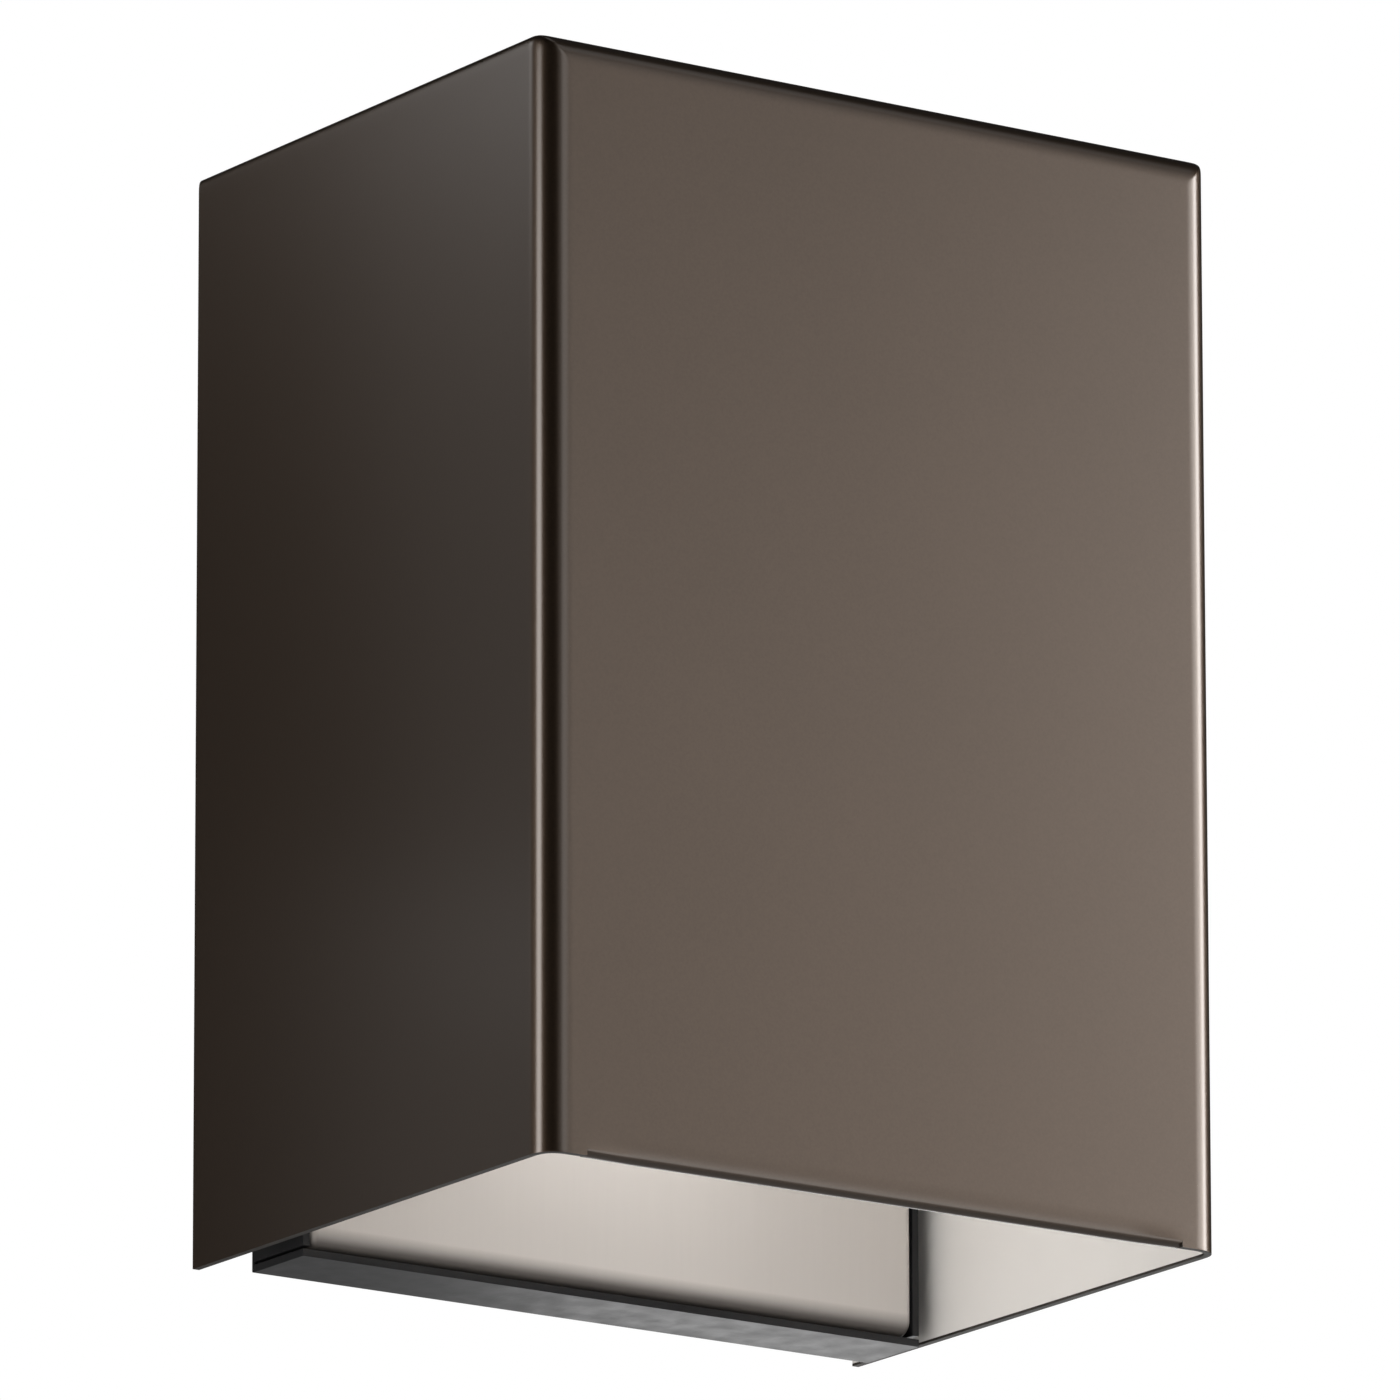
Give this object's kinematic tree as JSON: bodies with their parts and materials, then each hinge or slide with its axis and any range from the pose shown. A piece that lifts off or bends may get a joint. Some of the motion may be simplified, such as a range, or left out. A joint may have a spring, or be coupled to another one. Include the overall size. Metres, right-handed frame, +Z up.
{
  "type": "outdoor wall sconce",
  "caption": "Box-shaped outdoor wall light with a folded sheet cover, closed above and open below, on a wall tray with a pale lid and a downward twist-lock lamp.",
  "frame": {"origin": "on the wall plane, at the middle of the mounting strap", "axes": "+X to the right seen from the front, +Y into the wall, +Z up"},
  "size_m": [0.127, 0.099, 0.1832],
  "materials": {
    "bronze_finish": "satin dark bronze, faintly brushed, pale inside",
    "black_paint": "satin black",
    "pale_reflector": "satin, warm pale",
    "zinc_steel": "zinc plated",
    "bronze_screw": "satin dark bronze",
    "green_screw": "dyed green",
    "black_foam": "closed-cell foam",
    "black_rubber": "matt",
    "white_block": "moulded",
    "brass": "plain",
    "holder_ceramic": "glazed ceramic",
    "lead_sleeve": "silicone sleeve",
    "lamp_aluminium": "satin",
    "lamp_lens": "frosted",
    "white_board": "white lacquer",
    "led_phosphor": "phosphor"
  },
  "bodies": {
    "wall_unit": {"base_tray": "black_paint", "reflector_lid": "pale_reflector", "lid_standoffs": "zinc_steel", "lid_screws": "zinc_steel", "mounting_strap": "zinc_steel", "strap_studs": "zinc_steel", "stud_lock_nuts": "zinc_steel", "tray_washers": "zinc_steel", "tray_nuts": "zinc_steel", "ground_screw": "green_screw", "wall_gasket": "black_foam", "cable_grommet": "black_rubber", "lead_grommet": "black_rubber", "terminal_block": "white_block", "terminal_inserts": "brass", "terminal_screws": "brass", "terminal_fixing_screw": "zinc_steel", "lamp_bracket": "zinc_steel", "bracket_rivets": "lamp_aluminium", "lampholder": "holder_ceramic", "lampholder_contacts": "brass", "lampholder_screws": "zinc_steel", "lamp_leads": "lead_sleeve"},
    "cover": {"cover_shell": "bronze_finish", "clamp_bar": "zinc_steel", "cover_washers": "black_rubber"},
    "screw_left": {"cover_screw_left": "bronze_screw"},
    "screw_right": {"cover_screw_right": "bronze_screw"},
    "lamp": {"lamp_housing": "lamp_aluminium", "lamp_lens": "lamp_lens", "led_board": "white_board", "led_chips": "led_phosphor", "lamp_base": "holder_ceramic", "lamp_pins": "brass"}
  },
  "joints": [
    {"name": "cover_pull", "type": "slide", "parent": "wall_unit", "child": "cover", "axis": [0, -1, 0], "range_m": [0, 0.12]},
    {"name": "screw_left_turn", "type": "hinge", "parent": "cover", "child": "screw_left", "pos_m": [-0.038, -0.016, 0.0889], "axis": [0, 0, 1], "continuous": true},
    {"name": "screw_right_turn", "type": "hinge", "parent": "cover", "child": "screw_right", "pos_m": [0.038, -0.016, 0.0889], "axis": [0, 0, 1], "continuous": true},
    {"name": "lamp_twist", "type": "hinge", "parent": "wall_unit", "child": "lamp", "pos_m": [0, -0.0615, 0.01], "axis": [0, 0, -1], "range_deg": [0, 40]}
  ]
}
